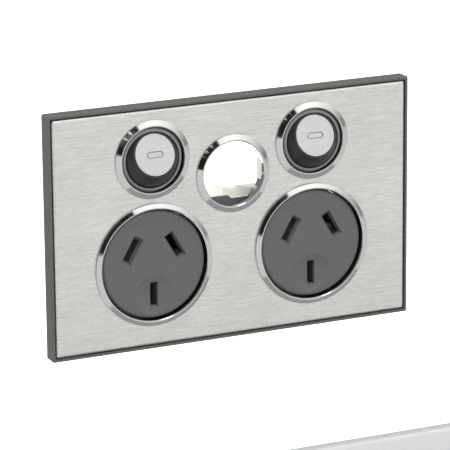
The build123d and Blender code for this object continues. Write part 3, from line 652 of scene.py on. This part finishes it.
def spare_gaps(sizes, reach):
    """The middle and the half angle of the gaps in and between the spare collar's four pairs of fingers."""
    place = sizes.spare_place
    half_span = sizes.spare_span / 2
    slit = math.asin(sizes.finger_gap / 2 / reach)
    gaps = [(turn + sign * place, slit) for turn in (0, math.pi) for sign in (-1, 1)]
    gaps += [(turn, place - half_span) for turn in (0, math.pi)]
    return gaps + [(turn, math.pi / 2 - place - half_span) for turn in (math.pi / 2, -math.pi / 2)]


def ring_surface(sizes, node, inner, collar_inner, wall, gaps, gap_top):
    """A ring turned from a rounded section; its collar ends early in each gap between its fingers.

    The angles are even steps and a close pair at each side of a gap. Inside a gap every point of the
    collar that lies behind the gap's end is moved to it, and the barb is drawn in to the collar's wall."""
    outer = half_width(node)
    crest_front = front(node)
    collar_back = back(node)
    skin = front("steel_skin")
    barb_back, barb_front = (collar_back + sizes.wall_reach * share for share in BARB_SPAN)
    collar_outer = collar_inner + wall
    band_top = inner + 2 * sizes.crest
    shoulder = crest_front - (outer - band_top) * math.tan(sizes.slope)
    section = [
        (inner, crest_front - sizes.crest),
        (inner + sizes.crest, crest_front),
        (band_top, crest_front),
        (outer, shoulder),
        (outer, skin + sizes.undercut),
        (outer - sizes.undercut, skin),
        (collar_outer, skin),
        (collar_outer, barb_front),
        (collar_outer + sizes.barb, barb_front),
        (collar_outer + sizes.barb, barb_back),
        (collar_outer, collar_back),
        (collar_inner, collar_back),
    ]
    edge = sizes.rounding
    radii = [edge, edge, edge, edge, edge / 2, 0, 0, 0, 0, 0, 0, edge]
    if collar_inner > inner:
        section += [(collar_inner, crest_front - sizes.lip), (inner, crest_front - sizes.lip)]
        radii += [edge, edge]
    profile = rounded(section, radii)
    places = gaps(sizes, collar_outer)
    angles = [FULL_TURN]
    close_pair = np.array([-GAP_EDGE, GAP_EDGE])
    for centre, half in places:
        angles += [centre - half + close_pair, centre + half + close_pair]
    angle = np.unique(np.concatenate(angles) % (2 * math.pi))
    open_here = np.zeros(len(angle), bool)
    for centre, half in places:
        away = np.abs((angle - centre + math.pi) % (2 * math.pi) - math.pi)
        open_here |= away < half
    radius = profile[:, 0][:, None] + 0 * angle
    height = profile[:, 1][:, None] + 0 * angle
    cut = open_here[None] & (height < gap_top)
    height = np.where(cut, gap_top, height)
    radius = np.where(cut, np.minimum(radius, collar_outer), radius)
    return np.stack([radius * np.cos(angle), radius * np.sin(angle), height], axis=-1)


class OUTLET_OT_rings(bpy.types.Operator):
    """Turn the five bright rings"""

    bl_idname = "outlet.rings"
    bl_label = "Rings"

    def execute(self, context):
        sizes = context.scene.outlet_rings
        material = bright_plating(context.scene.outlet_colours.plating)
        skin_back = front("steel_skin") - sizes.skin_thickness
        spare_inner = sizes.switch_inner
        rings = [("aperture_ring", spare_inner, spare_inner, sizes.spare_wall, spare_gaps, skin_back)]
        for side in SIDES:
            gap_top = back("socket_ring_" + side) + sizes.wall_reach
            rings.append(("socket_ring_" + side, sizes.socket_inner, sizes.socket_inner, sizes.socket_wall,
                          even_gaps, gap_top))
            rings.append(("switch_ring_" + side, sizes.switch_inner, sizes.switch_collar, sizes.switch_wall,
                          even_gaps, gap_top))
        for node, inner, collar_inner, wall, gaps, gap_top in rings:
            loops = ring_surface(sizes, node, inner, collar_inner, wall, gaps, gap_top)
            centre = middle(node)
            vertices = stand(loops, centre[0], centre[2]).reshape(-1, 3)
            faces = loop_faces(loops.shape[0], loops.shape[1], closed_rows=True)
            add_piece("bright_" + node, vertices, [faces], material, node)
        return {"FINISHED"}


def slice_angles(start, end):
    """Even steps of angle from the start of a slice's arc up to its end, where the next slice starts."""
    return start + (end - start) * np.arange(SLICE_ARC_STEPS) / SLICE_ARC_STEPS


def sector_edge(radius, start, end):
    """The outline of a slice of a disc: out along one spoke, round the arc and back along the other."""
    share = np.arange(SPOKE_STEPS) / SPOKE_STEPS
    arc = slice_angles(start, end)
    spoke_out = share[:, None] * radius * np.array([[math.cos(start), math.sin(start)]])
    spoke_back = (1 - share)[:, None] * radius * np.array([[math.cos(end), math.sin(end)]])
    return np.concatenate([spoke_out, radius * np.stack([np.cos(arc), np.sin(arc)], axis=-1), spoke_back])


def rectangle_from(points, centre, lean, length, width):
    """Where the lines from a leaning rectangle's centre to the points cross it, as shares of its sides.

    Each direction is turned into the rectangle's axes and stretched until its larger share is one. The
    point nearest to each corner is moved onto it."""
    away = points - centre
    across = away @ np.array([math.cos(lean), math.sin(lean)])
    along = away @ np.array([-math.sin(lean), math.cos(lean)])
    shares = np.stack([across / (width / 2), along / (length / 2)], axis=-1)
    shares = shares / np.abs(shares).max(axis=1, keepdims=True)
    corners = np.array([[1, 1], [-1, 1], [-1, -1], [1, -1]])
    for corner in corners:
        nearest = np.argmin(np.abs(shares - corner).sum(axis=1))
        shares[nearest] = corner
    return shares


def rectangle_loop(shares, centre, lean, length, width, height):
    """A loop of (right, up, out) on a leaning rectangle at one height."""
    across = shares[:, 0] * width / 2
    along = shares[:, 1] * length / 2
    right = centre[0] + across * math.cos(lean) - along * math.sin(lean)
    up = centre[1] + across * math.sin(lean) + along * math.cos(lean)
    return at_height(np.stack([right, up], axis=-1), height)


def slot_slice(sizes, out, outline, centre, lean, length, mouth_spread, mouth_extra):
    """Loops of a face's slice: over its front to the slot's mouth, down through the slot and back under it.

    The front goes from the outline to the mouth in straight lines. Near the earth slot it drops by the
    dish's depth times a power of one minus the square of the distance over the dish's radius. The slot
    narrows below its mouth, then widens into its chamber, and a guide wall stands round it behind."""
    plate_back = out - sizes.plate
    narrow = out - sizes.mouth_depth
    land = narrow - sizes.land
    shares = rectangle_from(outline, centre, lean, length + mouth_extra, sizes.slot_width + mouth_spread)

    def slot_loop(longer, wider, height):
        """The slot's outline, grown in length and width, at one height."""
        return rectangle_loop(shares, centre, lean, length + longer, sizes.slot_width + wider, height)

    mouth = slot_loop(mouth_extra, mouth_spread, out)
    share = SLICE_SHARES[:, None, None]
    top = at_height(outline, out)[None] * (1 - share) + mouth[None] * share
    far = np.hypot(top[..., 0], top[..., 1] - (sizes.earth_y + sizes.rise))
    inside_dish = np.clip(1 - (far / sizes.dish_radius) ** 2, 0, 1)
    top[..., 2] -= sizes.dish_depth * inside_dish ** sizes.dish_power
    deep = slot_loop(0, 0, narrow)
    rims = [top[-1] * (1 - part) + deep * part for part in TAPER_SHARES]
    under_edge = outline * ((sizes.radius - sizes.skirt) / (sizes.radius - sizes.edge))
    below = [
        deep,
        slot_loop(0, 0, land),
        slot_loop(2 * sizes.chamber, 2 * sizes.chamber, land),
        slot_loop(2 * sizes.chamber, 2 * sizes.chamber, sizes.guide_back),
        slot_loop(2 * sizes.guide, 2 * sizes.guide, sizes.guide_back),
        slot_loop(2 * sizes.guide, 2 * sizes.guide, plate_back),
        at_height(under_edge, plate_back),
    ]
    return np.concatenate([top, rims, below])


def skirt_loops(sizes, out, rear, angles):
    """Loops of a face's skirt: over the rounded front edge, down the outside and up the inside."""
    flat_radius = sizes.radius - sizes.edge
    inner_radius = sizes.radius - sizes.skirt
    turns = np.linspace(0, math.pi / 2, EDGE_STEPS + 1)
    rim = [(flat_radius + sizes.edge * math.sin(t), out - sizes.edge * (1 - math.cos(t))) for t in turns]
    side = rim + [(sizes.radius, rear), (inner_radius, rear), (inner_radius, out - sizes.plate)]
    return turned_loops(side, angles)[::-1]


def face_surface(sizes, node):
    """A socket face: a disc in three slices, one round each slot, and the skirt that their arcs go on to."""
    out = front(node)
    line_slot = (sizes.slot_length, sizes.mouth_spread, sizes.mouth_extra)
    earth_slot = (sizes.earth_length, sizes.earth_spread, sizes.earth_extra)
    slots = [
        (0.0, sizes.earth_y, 0.0, earth_slot, math.radians(210), math.radians(330)),
        (sizes.pin_x, sizes.pin_y, sizes.lean, line_slot, math.radians(-30), math.radians(90)),
        (-sizes.pin_x, sizes.pin_y, -sizes.lean, line_slot, math.radians(90), math.radians(210)),
    ]
    grids = []
    for x, y, lean, slot, start, end in slots:
        outline = sector_edge(sizes.radius - sizes.edge, start, end)
        grids.append(slot_slice(sizes, out, outline, np.array([x, y + sizes.rise]), lean, *slot))
    angles = np.concatenate([slice_angles(start, end) for *_, start, end in slots])
    grids.append(skirt_loops(sizes, out, back(node), angles))
    faces = []
    count = 0
    for grid in grids:
        rows, columns = grid.shape[:2]
        faces.append(loop_faces(rows, columns, offset=count))
        count += rows * columns
    return np.concatenate([grid.reshape(-1, 3) for grid in grids]), faces


class OUTLET_OT_socket_faces(bpy.types.Operator):
    """Mould the two socket faces"""

    bl_idname = "outlet.socket_faces"
    bl_label = "Socket faces"

    def execute(self, context):
        material = sparkling("face plastic", context.scene.outlet_colours.face, 0.5)
        for side in SIDES:
            node = "socket_face_" + side
            ring = middle("socket_ring_" + side)
            vertices, faces = face_surface(context.scene.outlet_faces, node)
            vertices = stand(vertices, ring[0], ring[2])
            add_piece("moulded_" + node, vertices, faces, material, node)
        return {"FINISHED"}


class OUTLET_OT_switch_bezels(bpy.types.Operator):
    """Turn the two switch bezels"""

    bl_idname = "outlet.switch_bezels"
    bl_label = "Switch bezels"

    def execute(self, context):
        sizes = context.scene.outlet_switches
        material = moulded("bezel plastic", context.scene.outlet_colours.bezel, 0.38, 2600.0, 0.05)
        hollow = sizes.ball + sizes.ball_gap
        hollow_steps = 14
        shoulder_rounding = 0.2 * MM
        lip_rounding = 0.08 * MM
        for side in SIDES:
            node = "switch_bezel_" + side
            pivot = joint_place(side + "_rocker_tilt")
            pivot_out = -pivot[1]
            out = front(node)
            rear = back(node)
            start = math.asin((out - pivot_out) / hollow)
            turn = np.linspace(start, 0, hollow_steps + 1)
            inside = [(hollow * math.cos(t), pivot_out + hollow * math.sin(t)) for t in turn]
            flange = half_width(node)
            outside = rounded([
                (hollow, rear),
                (flange, rear),
                (flange, sizes.flange_front),
                (sizes.bezel_tube, sizes.flange_front),
                (sizes.bezel_tube, sizes.bezel_shoulder),
                (sizes.bezel_outer, sizes.bezel_shoulder),
                (sizes.bezel_outer, out - sizes.bezel_edge),
                (sizes.bezel_outer - sizes.bezel_edge, out),
                inside[0],
            ], [0, 0, 0, 0, shoulder_rounding, 0, lip_rounding, lip_rounding, 0])
            profile = np.concatenate([outside, np.array(inside[1:])])[::-1]
            loops = turned_loops(profile)
            vertices = stand(loops, pivot[0], pivot[2]).reshape(-1, 3)
            faces = loop_faces(loops.shape[0], loops.shape[1], closed_rows=True)
            add_piece("turned_" + node, vertices, [faces], material, node)
        return {"FINISHED"}


class OUTLET_OT_rockers(bpy.types.Operator):
    """Finish the two rockers"""

    bl_idname = "outlet.rockers"
    bl_label = "Rockers"

    def execute(self, context):
        colour = context.scene.outlet_colours.rocker
        material = moulded("rocker plastic", colour, 0.30, 2600.0, 0.05, 0.00001, 0.1)
        for side in SIDES:
            finish_node("rocker_" + side, material)
        return {"FINISHED"}


def stadium_radius(angle, length, width):
    """How far a round-ended mark's edge lies from its middle, in each direction.

    Towards its straight sides it is half the width over the sine; towards its ends it is where the ray
    meets the end's circle."""
    straight = (length - width) / 2
    radius = width / 2
    sine = np.abs(np.sin(angle))
    cosine = np.abs(np.cos(angle))
    on_side = radius * cosine <= straight * sine
    side = radius / np.maximum(sine, 1e-9)
    end = straight * cosine + np.sqrt(np.maximum(radius ** 2 - (straight * sine) ** 2, 0))
    return np.where(on_side, side, end)


def cap_surface(sizes, radius):
    """A disc with a rounded front edge and a round-ended mark inside a thin groove.

    Its loops go from the middle of the back over the edge, then shrink from a circle to the mark's
    outline, and go down into the groove and up again to the middle of the mark."""
    circle = np.stack([np.cos(FULL_TURN), np.sin(FULL_TURN)], axis=-1)
    mark = circle * stadium_radius(FULL_TURN, sizes.mark_length, sizes.mark_width)[:, None]
    out = sizes.cap_front
    rear = out - sizes.cap_thickness
    edge = sizes.cap_edge
    bevel = 0.05 * MM
    lip = 0.03 * MM
    rings = [(circle * (radius - bevel), rear), (circle * radius, rear + bevel)]
    for turn in np.linspace(0, math.pi / 2, 6):
        rings.append((circle * (radius - edge + edge * math.cos(turn)), out - edge + edge * math.sin(turn)))
    for share in np.linspace(0, 1, 16)[1:]:
        rings.append((circle * (radius - edge) * (1 - share) + mark * share, out))
    inner_length = sizes.mark_length - 2 * sizes.mark_groove
    inner_width = sizes.mark_width - 2 * sizes.mark_groove
    inner = circle * stadium_radius(FULL_TURN, inner_length, inner_width)[:, None]
    floor = out - sizes.mark_floor
    groove_floor = out - sizes.mark_depth
    walls = ((0.08, out - lip), (0.12, groove_floor), (0.88, groove_floor), (0.92, floor - lip))
    for share, height in walls:
        rings.append((mark * (1 - share) + inner * share, height))
    rings += [(inner, floor), (inner * 0.9, floor)]
    loops = np.stack([at_height(flat, height) for flat, height in rings])
    rows, columns = loops.shape[:2]
    vertices = np.concatenate([loops.reshape(-1, 3), [[0, 0, rear], [0, 0, floor]]])
    faces = [
        loop_faces(rows, columns),
        fan_faces(0, columns, rows * columns, flip=True),
        fan_faces((rows - 1) * columns, columns, rows * columns + 1),
    ]
    return vertices, faces


class OUTLET_OT_rocker_caps(bpy.types.Operator):
    """Press the two silver caps"""

    bl_idname = "outlet.rocker_caps"
    bl_label = "Rocker caps"

    def execute(self, context):
        sizes = context.scene.outlet_switches
        material = silver_paint(context.scene.outlet_colours.cap)
        for side in SIDES:
            node = "rocker_cap_" + side
            pivot = joint_place(side + "_rocker_tilt")
            lean = joint_range(side + "_rocker_tilt") / 2
            vertices, faces = cap_surface(sizes, half_width(node))
            vertices = stand(tilt(vertices, lean, -pivot[1]), pivot[0], pivot[2])
            add_piece("pressed_" + node, vertices, faces, material, node)
        return {"FINISHED"}


class OUTLET_OT_grid_and_body(bpy.types.Operator):
    """Finish the grid plate and the rear body"""

    bl_idname = "outlet.grid_and_body"
    bl_label = "Grid plate and rear body"

    def execute(self, context):
        colours = context.scene.outlet_colours
        finish_node("grid_plate", moulded("grid plastic", colours.grid, 0.5, 1600.0, 0.06))
        finish_node("rear_body", moulded("cream plastic", colours.cream, 0.42, 1600.0, 0.03))
        return {"FINISHED"}


class OUTLET_OT_metal_inside(bpy.types.Operator):
    """Finish the bars, the contacts, the springs and the screws"""

    bl_idname = "outlet.metal_inside"
    bl_label = "Bars, contacts and screws"

    def execute(self, context):
        colours = context.scene.outlet_colours
        brass = pressed_metal("brass sheet", colours.brass, 0.28)
        zinc = pressed_metal("zinc plate", colours.zinc, 0.32)
        silver = pressed_metal("contact silver", colours.silver, 0.25)
        nylon = moulded("white nylon", colours.nylon, 0.4, 1600.0, 0.03)
        for node in ("line_bar", "neutral_bar", "earth_bar", "loop_terminal", "active_terminal_block",
                     "earth_terminal_block", "neutral_terminal_block"):
            finish_node(node, brass)
        for node in ("terminal_screws", "body_screws"):
            finish_node(node, zinc)
        for side in SIDES:
            finish_node("load_contact_" + side, brass)
            finish_node("moving_contact_" + side, brass)
            finish_node("moving_tip_" + side, silver)
            finish_node("fixed_tip_" + side, silver)
            finish_node("rocker_spring_" + side, zinc)
            finish_node("plunger_" + side, nylon)
        return {"FINISHED"}


# Stage

def plane_piece(name, centre, right, up, colour, strength=0.0):
    """A flat card: its middle and its half sides as vectors."""
    centre, right, up = (np.array(v, float) for v in (centre, right, up))
    corners = [centre - right - up, centre + right - up, centre + right + up, centre - right + up]
    mesh = bpy.data.meshes.new(name)
    mesh.from_pydata([tuple(c) for c in corners], [], [(0, 1, 2, 3)])
    finish = Finish(name, colour, 0.9)
    if strength:
        finish.shader.inputs["Emission Color"].default_value = (*colour, 1)
        finish.shader.inputs["Emission Strength"].default_value = strength
    mesh.materials.append(finish.material)
    card = bpy.data.objects.new(name, mesh)
    bpy.context.scene.collection.objects.link(card)
    return card


def direction(azimuth, elevation):
    """The direction from the outlet at degrees to the right of straight in front and above level."""
    azimuth, elevation = math.radians(azimuth), math.radians(elevation)
    return np.array([
        math.sin(azimuth) * math.cos(elevation),
        -math.cos(azimuth) * math.cos(elevation),
        math.sin(elevation),
    ])


def only_mirrored(card):
    """Let a card show only in bright surfaces, so that it's in no camera's way and throws no shadow."""
    card.visible_camera = False
    card.visible_shadow = False
    return card


def facing_axes(away, turn=0.0):
    """Right and up of a plane that looks back along a direction, turned in itself: right cos + up sin."""
    right = np.cross(-away, [0, 0, 1])
    right = right / np.linalg.norm(right)
    up = np.cross(right, -away)
    return right * math.cos(turn) + up * math.sin(turn), up * math.cos(turn) - right * math.sin(turn)


def facing_card(name, azimuth, elevation, distance, width, height, colour, turn=0, strength=0.0):
    """A card that faces the outlet from a direction, turned in its own plane by degrees."""
    away = direction(azimuth, elevation)
    side, rise = facing_axes(away, math.radians(turn))
    card = plane_piece(name, away * distance, side * width / 2, rise * height / 2, colour, strength)
    return only_mirrored(card)


def soft_card(name, azimuth, elevation, distance, width, height, edge_glow, middle_glow):
    """A white card that faces the outlet and glows, evenly dimmer from its middle to its edge."""
    card = facing_card(name, azimuth, elevation, distance, width, height, WHITE, strength=middle_glow)
    layer = card.data.uv_layers.new(name="across")
    for corner, place in zip(layer.data, ((-1, -1), (1, -1), (1, 1), (-1, 1))):
        corner.uv = place
    tree = card.data.materials[0].node_tree
    falloff = tree.nodes.new("ShaderNodeTexGradient")
    falloff.gradient_type = "SPHERICAL"
    place = tree.nodes.new("ShaderNodeTexCoord")
    tree.links.new(place.outputs["UV"], falloff.inputs["Vector"])
    glow = tree.nodes.new("ShaderNodeMapRange")
    glow.inputs["To Min"].default_value = edge_glow
    glow.inputs["To Max"].default_value = middle_glow
    tree.links.new(falloff.outputs["Fac"], glow.inputs["Value"])
    shader = tree.nodes["Principled BSDF"]
    shader.inputs["Base Color"].default_value = (0, 0, 0, 1)
    tree.links.new(glow.outputs["Result"], shader.inputs["Emission Strength"])


def area_light(name, azimuth, elevation, distance, width, height, power):
    """A soft box that faces the outlet from a direction, and doesn't show in its bright surfaces."""
    data = bpy.data.lights.new(name, "AREA")
    data.shape = "RECTANGLE"
    data.size = width
    data.size_y = height
    data.energy = power
    light = bpy.data.objects.new(name, data)
    light.visible_glossy = False
    bpy.context.scene.collection.objects.link(light)
    away = direction(azimuth, elevation)
    set_pose(light, away * distance, *facing_axes(away), away)


def set_pose(item, place, right, up, backwards):
    """Place an object by its three axes."""
    matrix = np.eye(4)
    matrix[:3, :3] = np.stack([right, up, backwards], axis=-1)
    matrix[:3, 3] = place
    item.matrix_world = Matrix(matrix.tolist())


class OUTLET_OT_stage(bpy.types.Operator):
    """Set up the floor, the lights and the camera"""

    bl_idname = "outlet.stage"
    bl_label = "Stage"

    def execute(self, context):
        stage = context.scene.outlet_stage
        colours = context.scene.outlet_colours
        floor_height = CAD_BOX[0][2] - stage.floor_drop
        self.surroundings(context, stage, colours, floor_height)
        self.lights()
        self.cards(colours, floor_height)
        self.camera(context, stage)
        return {"FINISHED"}

    def surroundings(self, context, stage, colours, floor_height):
        """A pale floor, a light table behind it and even light from all round."""
        plane_piece("floor", (0, 0, floor_height), (6, 0, 0), (0, 6, 0), colours.floor)
        table_place = (0, 3.12, floor_height + 0.002)
        plane_piece("light_table", table_place, (3, 0, 0), (0, 3, 0), WHITE, stage.table_glow)
        world = bpy.data.worlds.new("studio")
        world.use_nodes = True
        world.node_tree.nodes["Background"].inputs["Color"].default_value = (*WHITE, 1)
        world.node_tree.nodes["Background"].inputs["Strength"].default_value = stage.surroundings
        context.scene.world = world
        context.scene.view_settings.view_transform = "Standard"

    def lights(self):
        """Four soft boxes."""
        area_light("key", azimuth=28, elevation=38, distance=1.6, width=1.5, height=1.15, power=11)
        area_light("front", azimuth=-14, elevation=18, distance=1.6, width=0.5, height=0.5, power=8)
        area_light("side", azimuth=-100, elevation=8, distance=1.2, width=0.8, height=0.8, power=12)
        area_light("top", azimuth=45, elevation=80, distance=1.4, width=0.9, height=0.7, power=16)

    def cards(self, colours, floor_height):
        """What the bright surfaces mirror: two glowing cards, and dark ones on the floor and in the air."""
        top_card = facing_card("top_card", azimuth=45, elevation=80, distance=1.5, width=1.0, height=0.8,
                               colour=WHITE, strength=1.2)
        top_card.visible_diffuse = False
        soft_card("soft_box", azimuth=24, elevation=30, distance=1.7, width=4.2, height=2.7, edge_glow=0.35,
                  middle_glow=1.55)
        facing_card("dark_screen", azimuth=-145, elevation=12, distance=0.9, width=0.8, height=0.8,
                    colour=colours.screen)
        facing_card("black_flag", azimuth=-8.5, elevation=11, distance=1.15, width=0.22, height=0.76,
                    colour=colours.flag, turn=-42)
        mats = (
            ("grey_mat", (0.07, -0.085, floor_height + 0.002), (0.13, 0, 0), (0, 0.065, 0), colours.mat),
            ("dark_mat", (-0.33, 0.42, floor_height + 0.004), (0.24, 0, 0), (0, 0.32, 0), colours.screen),
        )
        for name, centre, right, up, colour in mats:
            only_mirrored(plane_piece(name, centre, right, up, colour))

    def camera(self, context, stage):
        """Stand the camera where the photograph was taken from."""
        data = bpy.data.cameras.new("camera")
        data.lens = stage.lens
        data.sensor_width = 36
        data.shift_x = stage.shift_x
        data.shift_y = stage.shift_y
        data.clip_start = 0.01
        camera = bpy.data.objects.new("camera", data)
        context.scene.collection.objects.link(camera)
        away = direction(math.degrees(stage.azimuth), math.degrees(stage.elevation))
        side, rise = facing_axes(away, stage.roll)
        set_pose(camera, np.array(stage.aim) + away * stage.distance, side, rise, away)
        context.scene.camera = camera


class OUTLET_PT_panel(bpy.types.Panel):
    """The outlet's pieces in the sidebar"""

    bl_idname = "OUTLET_PT_panel"
    bl_label = "Outlet"
    bl_space_type = "VIEW_3D"
    bl_region_type = "UI"
    bl_category = "Outlet"

    def draw(self, context):
        for operator in OPERATORS:
            self.layout.operator(operator.bl_idname)


GROUPS = {
    "outlet_cover": CoverSizes,
    "outlet_rings": RingSizes,
    "outlet_faces": FaceSizes,
    "outlet_switches": SwitchSizes,
    "outlet_colours": Colours,
    "outlet_stage": StageSizes,
}
OPERATORS = (
    OUTLET_OT_stage,
    OUTLET_OT_steel_skin,
    OUTLET_OT_cover_frame,
    OUTLET_OT_rings,
    OUTLET_OT_socket_faces,
    OUTLET_OT_switch_bezels,
    OUTLET_OT_rockers,
    OUTLET_OT_rocker_caps,
    OUTLET_OT_grid_and_body,
    OUTLET_OT_metal_inside,
)


def register():
    """Register the settings, the operators and the panel."""
    for name, group in GROUPS.items():
        bpy.utils.register_class(group)
        setattr(bpy.types.Scene, name, bpy.props.PointerProperty(type=group))
    for item in OPERATORS + (OUTLET_PT_panel,):
        bpy.utils.register_class(item)


def unregister():
    """Take them away again."""
    for item in reversed(OPERATORS + (OUTLET_PT_panel,)):
        bpy.utils.unregister_class(item)
    for name, group in reversed(GROUPS.items()):
        delattr(bpy.types.Scene, name)
        bpy.utils.unregister_class(group)


def main():
    """Make every piece in order."""
    register()
    for operator in OPERATORS:
        group, name = operator.bl_idname.split(".")
        getattr(getattr(bpy.ops, group), name)()


if __name__ == "__main__":
    main()
